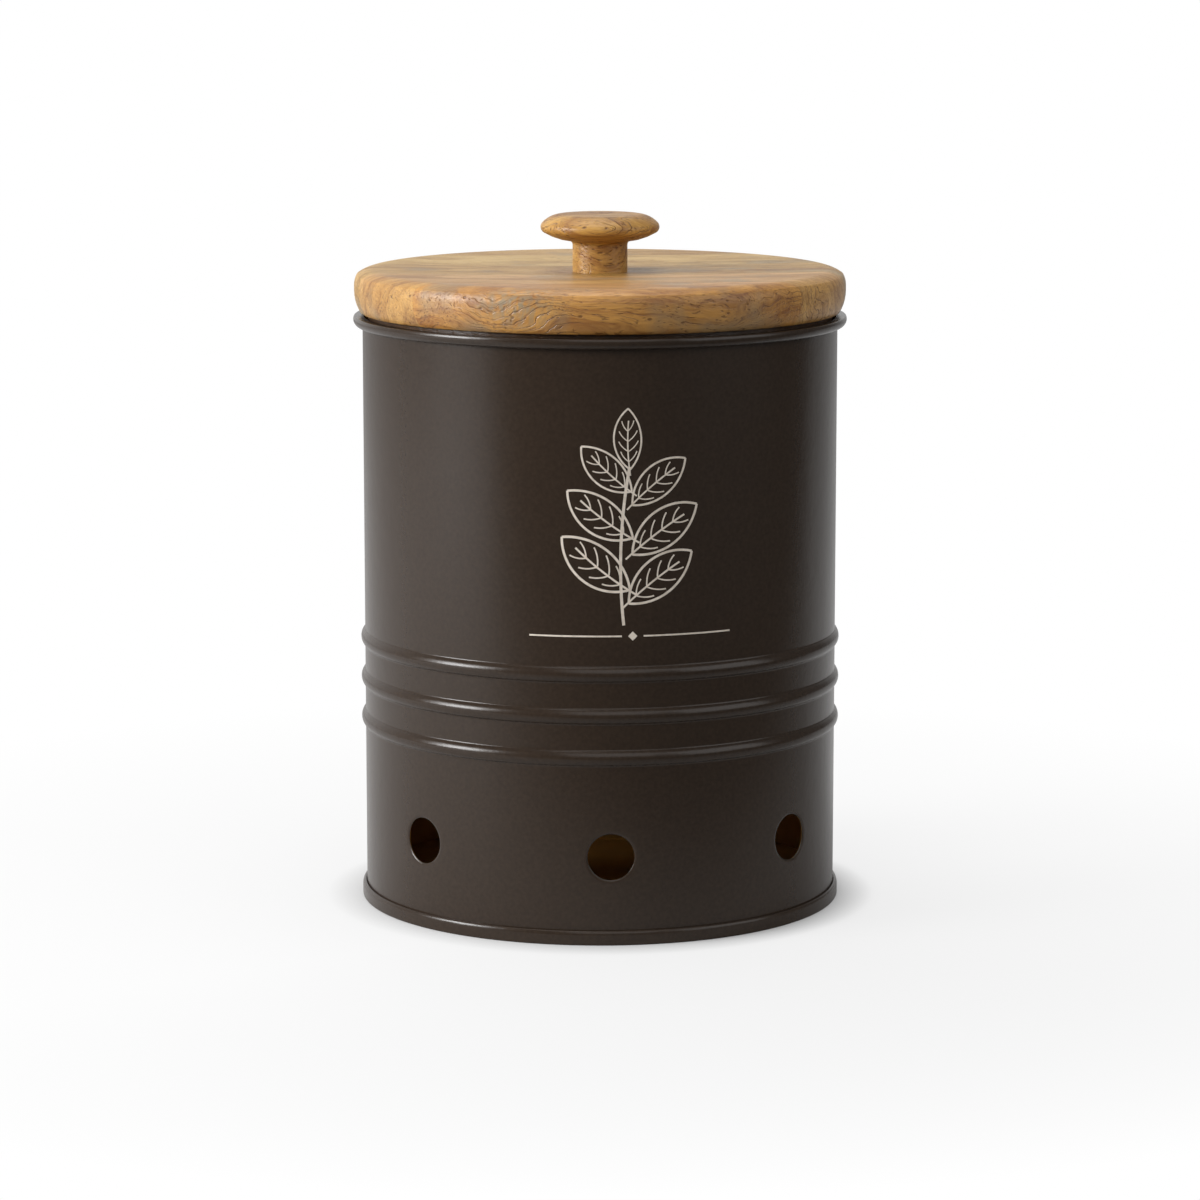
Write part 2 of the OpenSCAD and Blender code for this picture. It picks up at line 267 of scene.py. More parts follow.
# Columns are spaced so that each vent stands in the middle of a square of cells. Each stretch has
# its angle and its count of columns.
frame_turn = 2 * frame_half / wall_r
first_vent = -(vent_count - 1) / 2 * vent_step
stretches = []
for k in range(vent_count - 1):
    stretches += [(frame_turn, frame_cells), (vent_step - frame_turn, 15)]
back_gap = pi - (vent_count - 1) / 2 * vent_step - frame_turn / 2 - lock_turn / 2
stretches += [(frame_turn, frame_cells), (back_gap, 10), (lock_turn - fold_turn, 3),
              (fold_turn, 1), (back_gap, 10)]
shell = bmesh.new()
trace(shell, path)
bmesh.ops.rotate(shell, verts=shell.verts[:], cent=(0, 0, 0),
                 matrix=Matrix.Rotation(first_vent - frame_turn / 2 - pi / 2, 3, "Z"))
edge = shell.verts[:] + shell.edges[:]
for angle, steps in stretches:
    edge = bmesh.ops.spin(shell, geom=edge, cent=(0, 0, 0), axis=(0, 0, 1), angle=angle,
                          steps=steps)["geom_last"]
bmesh.ops.remove_doubles(shell, verts=shell.verts[:], dist=1e-5)


def bearing(point):
    """Angle of a point round the bin from its front."""
    return atan2(point.x, -point.y)


# Each vent's square of cells gives way to a round hole, whose edge rolls in where the punch went.
for k in range(vent_count):
    middle = first_vent + k * vent_step
    cells = [f for f in shell.faces
             if abs(f.calc_center_median().z - vent_z) < frame_half
             and abs(bearing(f.calc_center_median()) - middle) < frame_turn / 2]
    bmesh.ops.delete(shell, geom=cells, context="FACES")
    square = [e for e in shell.edges if e.is_boundary
              and abs((e.verts[0].co.z + e.verts[1].co.z) / 2 - vent_z) < frame_half + mm
              and abs(bearing((e.verts[0].co + e.verts[1].co) / 2) - middle) < frame_turn / 2 + 0.01]
    outer = square
    for wider, sunk in punch_roll:
        hole = bmesh.ops.create_circle(
            shell, radius=vent_r + wider, segments=4 * frame_cells,
            matrix=Matrix.Translation((0, 0, vent_z)) @ Matrix.Rotation(pi / 2, 4, "X"))["verts"]
        for point in hole:
            point.co.y = -sqrt((mouth_r - sunk) ** 2 - point.co.x ** 2)
        bmesh.ops.rotate(shell, verts=hole, cent=(0, 0, 0), matrix=Matrix.Rotation(middle, 3, "Z"))
        round_edges = list(dict.fromkeys(e for point in hole for e in point.link_edges))
        spokes = bmesh.ops.bridge_loops(shell, edges=outer + round_edges)["edges"]
        if outer == square:
            rings = bmesh.ops.subdivide_edges(shell, edges=spokes, cuts=4)["geom_inner"]
            for point in rings:
                if isinstance(point, bmesh.types.BMVert):
                    point.co.xy *= mouth_r / point.co.to_2d().length
        outer = round_edges
bmesh.ops.recalc_face_normals(shell, faces=shell.faces[:])

# The highest part of the section, the crest of the curl, has to look up.
if max(shell.faces, key=lambda f: f.calc_center_median().z).normal.z < 0:
    bmesh.ops.reverse_faces(shell, faces=shell.faces[:])
bmesh.ops.solidify(shell, geom=shell.faces[:], thickness=sheet)

# The cut edges of the vents and of the curl are softened by the coat.
rims = [e for e in shell.edges if e.is_manifold and e.calc_face_angle() > 1]
bmesh.ops.bevel(shell, geom=rims, offset=cut_soft, segments=3, profile=0.5,
                affect="EDGES", material=-1)

# Lock seam: three folded layers stand proud inside, and a fold line shows outside.
folds = []
for face in shell.faces:
    middle = face.calc_center_median()
    turn_on = (bearing(middle) - pi + lock_turn / 2) % (2 * pi)
    inside = face.normal.dot(Vector((middle.x, middle.y, 0))) < 0
    if inside and turn_on < lock_turn and lock_low < middle.z < lock_high:
        folds.append((face, -lock_proud))
    if not inside and lock_turn - fold_turn < turn_on < lock_turn and lock_low < middle.z < lock_high:
        folds.append((face, -fold_deep))
for depth in (-lock_proud, -fold_deep):
    flat = [f for f, d in folds if d == depth]
    raised = bmesh.ops.extrude_face_region(shell, geom=flat)["geom"]
    bmesh.ops.delete(shell, geom=flat, context="FACES")
    for point in raised:
        if isinstance(point, bmesh.types.BMVert):
            point.co.xy *= 1 + depth / point.co.to_2d().length

# The lacquer covers the faces that look into the bin, below the curl.
for face in shell.faces:
    middle = face.calc_center_median()
    out = Vector((middle.x, middle.y, 0)).normalized()
    facing = face.normal.dot(out)
    face.material_index = int((facing < -0.2 and middle.z < curl_z - curl_r)
                              or (facing < -0.8 and middle.dot(out) < mouth_r + 0.1 * mm)
                              or middle.dot(out) < mouth_r - 0.5 * mm)
piece("rolled_shell", shell, "bin", "coated_steel", ["body_shell"], powder_coat, lacquer)


# Print: a leafy sprig over a plain rule, screen-printed on the coat in one colour.
# The strokes are thin ribbons of ink that lie on the wall, right of the middle vent.
print_turn = radians(5)
print_z = 154 * mm
ink_proud = 0.04 * mm
ink_t = 0.06 * mm
line_w = 0.85 * mm
rule_z = -39
straight = 0.01


def stroke(bm, start, end, bulge, width):
    """A flat ribbon in the XZ plane along an arc from start to end, which bulges to its left. The
    ends and the bulge are in millimetres."""
    start = Vector(start) * mm
    end = Vector(end) * mm
    chord = end - start
    half = chord.length / 2
    bulge = bulge * mm
    radius = (half ** 2 + bulge ** 2) / (2 * bulge)
    left = Vector((-chord.y, chord.x)).normalized()
    centre = (start + end) / 2 + left * (bulge - radius)
    ray = (start - centre).normalized()
    ends = [bm.verts.new((p.x, 0, p.y)) for p in (centre + ray * (radius - width / 2),
                                                  centre + ray * (radius + width / 2))]
    bmesh.ops.spin(bm, geom=ends + [bm.edges.new(ends)], cent=(centre.x, 0, centre.y),
                   axis=(0, -1, 0), angle=-2 * asin(half / radius),
                   steps=max(4, round(chord.length / (1.2 * mm))))


# One leaf lies along X: two outlines, a midrib and pairs of veins. It is copied along the stem.
sprig = bmesh.new()
stroke(sprig, (0, 0), (30, 0), 7.5, line_w)
stroke(sprig, (30, 0), (0, 0), 6, line_w)
stroke(sprig, (-3, 0), (24, 0), 0.8, 0.8 * line_w)
for along in (6, 11, 16, 21):
    reach = 5.2 * sin(pi * (along + 4) / 32)
    stroke(sprig, (along - 2, 0.7), (along + 3, reach), 0.5, 0.6 * line_w)
    stroke(sprig, (along + 3, 0.7 - reach), (along - 2, 0.4), 0.5, 0.6 * line_w)
leaf = sprig.verts[:] + sprig.edges[:] + sprig.faces[:]
twigs = [(-27, 38, 1.0), (-22, 142, 1.05), (-9, 36, 1.0), (-3, 144, 0.98),
         (9, 40, 0.86), (14, 138, 0.82), (22, 92, 0.74)]
for up, lean, size in twigs:
    copied = bmesh.ops.duplicate(sprig, geom=leaf)["geom"]
    points = [g for g in copied if isinstance(g, bmesh.types.BMVert)]
    bmesh.ops.scale(sprig, vec=(size, size, size), verts=points)
    bmesh.ops.rotate(sprig, verts=points, matrix=Matrix.Rotation(radians(-lean), 3, "Y"))
    bmesh.ops.translate(sprig, vec=((3 * cos(up / 26) - 3) * mm, 0, up * mm), verts=points)
bmesh.ops.delete(sprig, geom=[g for g in leaf if isinstance(g, bmesh.types.BMVert)], context="VERTS")
stroke(sprig, (-3.3, -35), (-1.2, 23), 2.1, 1.25 * line_w)
for side in (-1, 1):
    stroke(sprig, (4 * side, rule_z), (38 * side, rule_z), straight, 0.7 * line_w)
mark = bmesh.ops.create_circle(sprig, cap_ends=True, segments=4, radius=1.7 * mm,
                               matrix=Matrix.Rotation(pi / 2, 4, "X"))["verts"]
bmesh.ops.translate(sprig, vec=(0, 0, rule_z * mm), verts=mark)
for point in sprig.verts:
    around = print_turn + point.co.x / wall_r
    reach = wall_r + ink_proud
    point.co = (reach * sin(around), -reach * cos(around), print_z + point.co.z)
bmesh.ops.recalc_face_normals(sprig, faces=sprig.faces[:])
for face in sprig.faces:
    if face.normal.dot(face.calc_center_median()) < 0 and face.normal.y > 0:
        face.normal_flip()
bmesh.ops.solidify(sprig, geom=sprig.faces[:], thickness=ink_t)

# Ink: beige screen enamel, squeegeed through a mesh and baked. It is flat and even, a little
# thinner in places, so that the dark coat greys it.
ink, tree = finish("screen_enamel")
place = add(tree, "ShaderNodeTexCoord")["Object"]
cover = add(tree, "ShaderNodeTexNoise", {"Vector": place, "Scale": 1 / (2.4 * mm), "Detail": 3})[0]
tint = add(tree, "ShaderNodeValToRGB", {"Fac": cover},
           stops=[(0.32, linear("cbbfb0")), (0.6, linear("ded3c5"))])[0]
film = add(tree, "ShaderNodeBsdfPrincipled", {"Base Color": tint, "Roughness": 0.55})[0]
add(tree, "ShaderNodeOutputMaterial", {"Surface": film})
piece("printed_sprig", sprig, "bin", "coated_steel", [], ink)


# Lid boards: five mango boards glued edge to edge, then turned as one panel with an edge line
# above, a fuller curve below and a slightly hollow top, sanded and oiled. Each has its own figure.
lid_low, lid_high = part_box("lid_board_3")
lid_r = lid_high.x
lid_z = lid_low.z
lid_top = lid_high.z
board_w = lid_high.y - lid_low.y
last_glue = 1.6 * board_w
seat_r = 12 * mm
seat_z = lid_top - 1.3 * mm
top_round = 10.5 * mm
top_turn = 55
edge_round = 1 * mm
side_round = 8 * mm
side_turn = 28
low_round = 15.5 * mm
lid_land = 2 * mm
foot_soft = 0.5 * mm
# The bruise sits on the front left of the lid's edge. It is partly a grey bruise in the wood and partly
# painted sheen from the lamp at the left.
bruise_and_sheen_at = (-38 * mm, -86 * mm, lid_top - 6 * mm)


def mango_wood(name, shift, heart, pale, deep, clouds_and_sheen="8d7f66", bruise_and_sheen=(0, 0, 1), calm=0.4):
    """Mango wood, sanded fine and oiled: honey-brown rings that wander and curl, thin dark lines
    along them, short dark pores along the grain, which runs in X, and a greyish bruise that is partly
    painted sheen."""
    made, tree = finish(name)
    place = add(tree, "ShaderNodeTexCoord")["Object"]
    log = add(tree, "ShaderNodeMapping", {"Vector": place, "Location": shift})[0]

    # The rings wander round the heart of the log, more strongly across it than along it.
    slow = add(tree, "ShaderNodeMapping", {"Vector": log, "Scale": (1 / 48, 1 / 21, 1 / 21)})[0]
    sway = add(tree, "ShaderNodeTexNoise", {
        "Vector": slow, "Scale": 1 / mm, "Detail": 3, "Roughness": 0.45})["Color"]
    sway = add(tree, "ShaderNodeVectorMath", {0: sway, 1: (0.5, 0.5, 0.5)}, operation="SUBTRACT")[0]
    bent = add(tree, "ShaderNodeVectorMath", {
        0: sway, 1: (0, 20 * mm, 20 * mm), 2: log}, operation="MULTIPLY_ADD")[0]
    quick = add(tree, "ShaderNodeMapping", {"Vector": log, "Scale": (1 / 10, 1 / 6, 1 / 6)})[0]
    curl = add(tree, "ShaderNodeTexNoise", {"Vector": quick, "Scale": 1 / mm, "Detail": 2})["Color"]
    curl = add(tree, "ShaderNodeVectorMath", {0: curl, 1: (0.5, 0.5, 0.5)}, operation="SUBTRACT")[0]
    curled = add(tree, "ShaderNodeVectorMath", {
        0: curl, 1: (0, 3 * mm, 3 * mm), 2: bent}, operation="MULTIPLY_ADD")[0]
    across = add(tree, "ShaderNodeVectorMath", {0: curled, 1: (0, 1, 1)}, operation="MULTIPLY")[0]
    span = add(tree, "ShaderNodeVectorMath", {0: across, 1: (0, *heart)}, operation="DISTANCE")["Value"]
    ring = add(tree, "ShaderNodeMath", {0: span, 1: 1 / (5 * mm)}, operation="MULTIPLY")[0]
    ring = add(tree, "ShaderNodeMath", {0: ring}, operation="FRACT")[0]
    ring = add(tree, "ShaderNodeValToRGB", {"Fac": ring}, stops=[
        (0, (0.75, 0.75, 0.75, 1)), (1, (0.7, 0.7, 0.7, 1)), (0.35, (0.95, 0.95, 0.95, 1)),
        (0.8, (0.4, 0.4, 0.4, 1)), (0.93, (0.1, 0.1, 0.1, 1))])[0]

    # Fibres are fine lines along the grain, bands are broad ones.
    fine = add(tree, "ShaderNodeMapping", {"Vector": bent, "Scale": (1 / 26, 1 / 0.8, 1 / 0.8)})[0]
    fibre = add(tree, "ShaderNodeTexNoise", {"Vector": fine, "Scale": 1 / mm, "Detail": 3})[0]
    broad = add(tree, "ShaderNodeMapping", {"Vector": bent, "Scale": (1 / 55, 1 / 12, 1 / 12)})[0]
    band = add(tree, "ShaderNodeTexNoise", {"Vector": broad, "Scale": 1 / mm, "Detail": 4})[0]
    stain = add(tree, "ShaderNodeTexNoise", {"Vector": bent, "Scale": 1 / (30 * mm), "Detail": 4})[0]
    tone = add(tree, "ShaderNodeMath", {0: stain, 1: -0.4, 2: 0.23}, operation="MULTIPLY_ADD")[0]
    tone = add(tree, "ShaderNodeMath", {0: ring, 1: 0.2, 2: tone}, operation="MULTIPLY_ADD")[0]
    tone = add(tree, "ShaderNodeMath", {0: band, 1: 0.85, 2: tone}, operation="MULTIPLY_ADD")[0]
    tone = add(tree, "ShaderNodeMath", {0: fibre, 1: 0.5, 2: tone}, operation="MULTIPLY_ADD")[0]
    colour = add(tree, "ShaderNodeValToRGB", {"Fac": tone}, stops=[
        (0.52, linear(deep)), (1.0, linear(pale))])[0]

    # A greyish spot, mottled, partly a bruise under the bark side and partly painted sheen where the left
    # lamp shines on the edge, and thinner clouds of the same grey. Inputs 6 and 7 of a mix node are its
    # two colours, and output 2 is their mix.
    grey = add(tree, "ShaderNodeMapRange", {
        "Value": stain, "From Min": 0.54, "From Max": 0.66, "To Max": 0.5})[0]
    away = add(tree, "ShaderNodeVectorMath", {0: place, 1: bruise_and_sheen}, operation="SUBTRACT")[0]
    away = add(tree, "ShaderNodeVectorMath", {0: away, 1: (0.3, 1, 1)}, operation="MULTIPLY")[0]
    away = add(tree, "ShaderNodeVectorMath", {0: away}, operation="LENGTH")["Value"]
    spot = add(tree, "ShaderNodeMapRange", {
        "Value": away, "From Min": 10 * mm, "From Max": 2 * mm, "To Max": 0.9})[0]
    mottle = add(tree, "ShaderNodeTexNoise", {"Vector": curled, "Scale": 1 / (2.2 * mm), "Detail": 3})[0]
    mottle = add(tree, "ShaderNodeMapRange", {"Value": mottle, "From Min": 0.38, "From Max": 0.6})[0]
    spot = add(tree, "ShaderNodeMath", {0: spot, 1: mottle}, operation="MULTIPLY")[0]
    grey = add(tree, "ShaderNodeMath", {0: grey, 1: spot}, operation="MAXIMUM")[0]
    colour = add(tree, "ShaderNodeMix", {
        "Factor": grey, 6: colour, 7: linear(clouds_and_sheen)}, data_type="RGBA")[2]

    # Thin dark lines follow the curled rings, and come and go.
    line = add(tree, "ShaderNodeMath", {0: span, 1: 1 / (1.9 * mm)}, operation="MULTIPLY")[0]
    line = add(tree, "ShaderNodeMath", {0: line}, operation="FRACT")[0]
    line = add(tree, "ShaderNodeValToRGB", {"Fac": line}, stops=[
        (0.42, (0, 0, 0, 1)), (0.58, (0, 0, 0, 1)), (0.5, (1, 1, 1, 1))])[0]
    patch = add(tree, "ShaderNodeTexNoise", {"Vector": log, "Scale": 1 / (20 * mm), "Detail": 2})[0]
    patch = add(tree, "ShaderNodeMapRange", {"Value": patch, "From Min": 0.44, "From Max": 0.62})[0]
    line = add(tree, "ShaderNodeMath", {0: line, 1: patch}, operation="MULTIPLY")[0]

    # Pores are short dark strokes, and a few larger specks are scattered among them. Real pores
    # are 0.2 mm wide, too fine to show, so they are drawn 0.7 mm wide.
    short = add(tree, "ShaderNodeMapping", {"Vector": bent, "Scale": (1 / 5, 1 / 0.7, 1 / 0.7)})[0]
    pore = add(tree, "ShaderNodeTexNoise", {"Vector": short, "Scale": 1 / mm, "Detail": 2})[0]
    pore = add(tree, "ShaderNodeMapRange", {
        "Value": pore, "From Min": 0.6, "From Max": 0.69, "To Max": 0.75})[0]
    dots = add(tree, "ShaderNodeMapping", {"Vector": log, "Scale": (1 / 6, 1 / 3.2, 1 / 3.2)})[0]
    speck = add(tree, "ShaderNodeTexVoronoi", {"Vector": dots, "Scale": 1 / mm})
    near = add(tree, "ShaderNodeMapRange", {
        "Value": speck["Distance"], "From Min": 0.2, "From Max": 0.1, "To Max": 0.85})[0]
    pick = add(tree, "ShaderNodeSeparateColor", {"Color": speck["Color"]})[0]
    pick = add(tree, "ShaderNodeMath", {0: pick, 1: 0.76}, operation="GREATER_THAN")[0]
    speck = add(tree, "ShaderNodeMath", {0: near, 1: pick}, operation="MULTIPLY")[0]
    mark = add(tree, "ShaderNodeMath", {0: pore, 1: speck}, operation="MAXIMUM")[0]
    mark = add(tree, "ShaderNodeMath", {0: mark, 1: line}, operation="MAXIMUM")[0]

    # The top of the lid is sanded finer than the edge, so less of these marks is left there.
    height = add(tree, "ShaderNodeSeparateXYZ", {"Vector": place})["Z"]
    left = add(tree, "ShaderNodeMapRange", {
        "Value": height, "From Min": lid_top - 4 * mm, "From Max": lid_top - 1 * mm,
        "To Min": 0.85, "To Max": calm})[0]
    mark = add(tree, "ShaderNodeMath", {0: mark, 1: left}, operation="MULTIPLY")[0]
    colour = add(tree, "ShaderNodeMix", {
        "Factor": mark, 6: colour, 7: linear("53300f")}, data_type="RGBA")[2]

    # Pale wood takes more of the oil and shines a little more. The marks are open, so they sink.
    gloss = add(tree, "ShaderNodeMapRange", {
        "Value": tone, "From Min": 0.5, "From Max": 1, "To Min": 0.46, "To Max": 0.36})[0]
    relief = add(tree, "ShaderNodeMath", {0: mark, 1: -1.6, 2: fibre}, operation="MULTIPLY_ADD")[0]
    grain = add(tree, "ShaderNodeBump", {"Height": relief, "Distance": 0.16 * mm, "Strength": 0.8})[0]
    wood = add(tree, "ShaderNodeBsdfPrincipled", {
        "Base Color": colour, "Roughness": gloss, "Specular IOR Level": 0.5, "Normal": grain})[0]
    add(tree, "ShaderNodeOutputMaterial", {"Surface": wood})
    return made


def polar(centre, distance, angle):
    """The point of a half section at a distance and an angle, in degrees, from a centre."""
    return centre[0] + distance * cos(radians(angle)), centre[1] + distance * sin(radians(angle))


side_z = (lid_top - top_round + (top_round - edge_round) * sin(radians(top_turn))
          - (side_round - edge_round) * sin(radians(side_turn)))
side_axis = (lid_r - side_round, side_z)
edge_axis = polar(side_axis, side_round - edge_round, side_turn)
top_axis = polar(edge_axis, edge_round - top_round, top_turn)
low_axis = (lid_r - low_round, side_z - lid_land)
low_turn = degrees(asin((low_axis[1] - lid_z) / low_round))
panel = turn([
    (0, lid_z),
    polar(low_axis, low_round, -low_turn),
    (*low_axis, low_turn),
    (lid_r, side_z),
    (*side_axis, side_turn),
    (*edge_axis, top_turn - side_turn),
    (*top_axis, 90 - top_turn),
    (seat_r, seat_z),
    (0, seat_z)], steps=240)
foot_edges = [e for e in panel.edges if e.calc_face_angle() > 0.6]
bmesh.ops.bevel(panel, geom=foot_edges, offset=foot_soft, segments=3, profile=0.5,
                affect="EDGES", material=-1)
# Each board has its place in its log, the heart of its rings, and its palest and deepest colour.
boards = [
    ("lid_board_1", (0.31, 0.012, 0.03), (-0.03, -0.13), "c38f49", "77441d"),
    ("lid_board_2", (0.12, 0.22, 0.05), (0.26, 0.33), "c49756", "80532a"),
    ("lid_board_3", (0.47, 0.41, 0.02), (0.43, 0.16), "ba9249", "7b5024"),
    ("lid_board_4", (0.23, 0.63, 0.07), (0.66, 0.26), "c5a159", "8e6432"),
    ("lid_board_5", (0.71, 0.85, 0.01), (0.81, 0.37), "ba9149", "7b5126")]
# A board is cut from the panel along its glue lines. At the rim of the lid it has none.
for name, shift, heart, pale, deep in boards:
    low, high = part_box(name)
    board = panel.copy()
    for side, at in ((-1, low.y), (1, high.y)):
        if abs(at) > last_glue:
            continue
        cut = bmesh.ops.bisect_plane(
            board, geom=board.verts[:] + board.edges[:] + board.faces[:],
            plane_co=(0, at, 0), plane_no=(0, side, 0), clear_outer=True)["geom_cut"]
        bmesh.ops.holes_fill(board, edges=[e for e in cut if isinstance(e, bmesh.types.BMEdge)])
    piece(name + "_mango", board, "lid", "lid_wood", [name],
          mango_wood(name + "_oiled_mango", shift, heart, pale, deep, bruise_and_sheen=bruise_and_sheen_at))
panel.free()


# Locating disc: a round plug of the same wood under the boards. It drops into the mouth of the bin and
# keeps the lid central.
# Its colour is made dark as painted shade, so that the line of it between lid and rim shows as the shadow
# in that slot.
slot_shade_mango = mango_wood("slot_shade_dark_mango", (0.55, 0.07, 0.61), (0.2, 0.48), "4a3016", "2a1a0c",
                     clouds_and_sheen="3c2b1b")
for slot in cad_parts["locating_disc"].material_slots:
    slot.material = slot_shade_mango


# Disc screws: four countersunk steel screws, zinc plated, that hold the disc to the boards.
# Each head has a cross recess and lies flush with the disc.
screws_low, screws_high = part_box("disc_screws")
disc_head_r = 4 * mm
disc_shank_r = 2 * mm
screw_ring_r = (screws_high.x - disc_head_r) * sqrt(2)
recess_reach = 0.58
recess_taper = 0.6
recess_deep = 0.4
tip_r = 0.1 * mm

# Zinc plate: a thin bright electroplated layer, clear passivated. It is a slightly dull metal
# with faint clouds.
zinc, tree = finish("zinc_plate")
place = add(tree, "ShaderNodeTexCoord")["Object"]
cloud = add(tree, "ShaderNodeTexNoise", {"Vector": place, "Scale": 1 / (1.4 * mm), "Detail": 4})[0]
tint = add(tree, "ShaderNodeValToRGB", {"Fac": cloud},
           stops=[(0.3, linear("b4b3ad")), (0.7, linear("cfcdc4"))])[0]
gloss = add(tree, "ShaderNodeMapRange", {"Value": cloud, "To Min": 0.28, "To Max": 0.4})[0]
plate = add(tree, "ShaderNodeBsdfPrincipled", {"Base Color": tint, "Roughness": gloss, "Metallic": 1.0})[0]
add(tree, "ShaderNodeOutputMaterial", {"Surface": plate})


def draw_down(bm, edges, radius, depth):
    """Extrudes a ring of edges downwards and out or in to a radius, and gives the new ring."""
    made = bmesh.ops.extrude_edge_only(bm, edges=edges)["geom"]
    points = [g for g in made if isinstance(g, bmesh.types.BMVert)]
    for point in points:
        point.co.xy *= radius / point.co.to_2d().length
        point.co.z -= depth
    return [g for g in made if isinstance(g, bmesh.types.BMEdge) and all(v in points for v in g.verts)]


def cross_head(radius, crown):
    """The face of a screw's head, looking up: a round face with a tapered cross recess, whose sizes
    are shares of its radius. Gives the bmesh and the edges of its rim."""
    bm = bmesh.new()
    reach = recess_reach * radius
    bmesh.ops.create_grid(bm, x_segments=8, y_segments=8, size=reach)
    arms = [f for f in bm.faces
            if min(abs(f.calc_center_median().x), abs(f.calc_center_median().y)) < reach / 4]
    square = [e for e in bm.edges if e.is_boundary]
    rim_edges = draw_down(bm, square, radius, 0)
    for point in bm.verts:
        point.co.z = crown * (1 - (point.co.length / radius) ** 2)
    sunk = bmesh.ops.extrude_face_region(bm, geom=arms)["geom"]
    bmesh.ops.delete(bm, geom=arms, context="FACES")
    points = [g for g in sunk if isinstance(g, bmesh.types.BMVert)]
    bmesh.ops.scale(bm, vec=(recess_taper, recess_taper, 1), verts=points)
    bmesh.ops.translate(bm, vec=(0, 0, -recess_deep * radius), verts=points)
    return bm, rim_edges


# The heads look down, and each screw is joined to the others as one piece.
screws = bmesh.new()
for corner in (45, 135, 225, 315):
    head, rim = cross_head(disc_head_r, 0)
    ring = draw_down(head, rim, disc_shank_r, disc_head_r - disc_shank_r)
    ring = draw_down(head, ring, disc_shank_r, screws_high.z - screws_low.z - disc_head_r)
    ring = draw_down(head, ring, tip_r, disc_shank_r)
    bmesh.ops.holes_fill(head, edges=ring)
    bmesh.ops.recalc_face_normals(head, faces=head.faces[:])
    bmesh.ops.rotate(head, verts=head.verts[:], matrix=Matrix.Rotation(pi, 3, "X"))
    spot = Matrix.Rotation(radians(corner), 3, "Z") @ Vector((screw_ring_r, 0, screws_low.z))
    bmesh.ops.translate(head, vec=spot, verts=head.verts[:])
    part = bpy.data.meshes.new("screw")
    head.to_mesh(part)
    head.free()
    screws.from_mesh(part)
    bpy.data.meshes.remove(part)
piece("cross_head_screws", screws, "lid", "screw_steel", ["disc_screws"], zinc)


# Knob: one piece of mango, turned with a straight neck and a mushroom head, sanded and oiled.
# A screw from below draws it down on the lid.
knob_low, knob_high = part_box("knob")
knob_r = knob_high.x
neck_z = knob_low.z
knob_top = knob_high.z
neck_r = 10.4 * mm
head_low = neck_z + 11.5 * mm
nose_z = head_low + 5.4 * mm
nose_round = 2.4 * mm
shoulder_round = 10 * mm
under_round = 24 * mm
neck_fillet = 1.5 * mm
nose_r = knob_r - nose_round
shoulder_z = knob_top - shoulder_round
shoulder_r = nose_r - sqrt((shoulder_round - nose_round) ** 2 - (nose_z - shoulder_z) ** 2)
under_z = head_low + under_round
under_r = nose_r - sqrt((under_round - nose_round) ** 2 - (under_z - nose_z) ** 2)
fillet_r = neck_r + neck_fillet
fillet_z = under_z - sqrt((under_round + neck_fillet) ** 2 - (fillet_r - under_r) ** 2)
fillet_end = degrees(atan2(fillet_z - under_z, fillet_r - under_r))
under_end = degrees(atan2(nose_z - under_z, nose_r - under_r))
nose_end = degrees(atan2(nose_z - shoulder_z, nose_r - shoulder_r))
knob = turn([
    (0, neck_z),
    (neck_r, neck_z),
    (neck_r, fillet_z),
    (fillet_r, fillet_z, fillet_end),
    (under_r, under_z, under_end - fillet_end),
    (nose_r, nose_z, nose_end - under_end),
    (shoulder_r, shoulder_z, 90 - nose_end),
    (0, knob_top)], steps=128)
piece("knob_mango", knob, "lid", "knob_wood", ["knob"],
      mango_wood("knob_oiled_mango", (0.93, 0.35, 0.44), (0.36, 0.66), "c1944c", "7a481d", calm=0.95))


# Knob screw and washer: a zinc-plated round-head screw in the recess of the disc, on a plain
# washer, which draws the knob down through the boards.
screw_low, screw_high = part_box("knob_screw")
washer_low, washer_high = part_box("knob_washer")
screw_head_r = screw_high.x
screw_shank_r = 2.4 * mm
screw_head_h = washer_low.z - screw_low.z
screw_crown = 0.7 * screw_head_h
screw_tip = 4 * mm
screw, rim = cross_head(screw_head_r, screw_crown)
ring = draw_down(screw, rim, screw_head_r, screw_head_h - screw_crown)
ring = draw_down(screw, ring, screw_shank_r, 0)
ring = draw_down(screw, ring, screw_shank_r, screw_high.z - washer_low.z - screw_tip)
ring = draw_down(screw, ring, tip_r, screw_tip)
bmesh.ops.holes_fill(screw, edges=ring)
bmesh.ops.recalc_face_normals(screw, faces=screw.faces[:])
bmesh.ops.rotate(screw, verts=screw.verts[:], matrix=Matrix.Rotation(pi, 3, "X"))
bmesh.ops.translate(screw, vec=(0, 0, screw_low.z + screw_crown), verts=screw.verts[:])
piece("round_head_screw", screw, "lid", "screw_steel", ["knob_screw"], zinc)
washer_soft = 0.2 * mm
hole_r = screw_shank_r + 0.1 * mm
washer = turn([
    (hole_r, washer_low.z),
    (washer_high.x - washer_soft, washer_low.z),
    (washer_high.x - washer_soft, washer_low.z + washer_soft, 90),
    (washer_high.x, washer_high.z - washer_soft),
    (washer_high.x - washer_soft, washer_high.z - washer_soft, 90),
    (hole_r, washer_high.z),
    (hole_r, washer_low.z)], steps=64)
piece("plain_washer", washer, "lid", "screw_steel", ["knob_washer"], zinc)


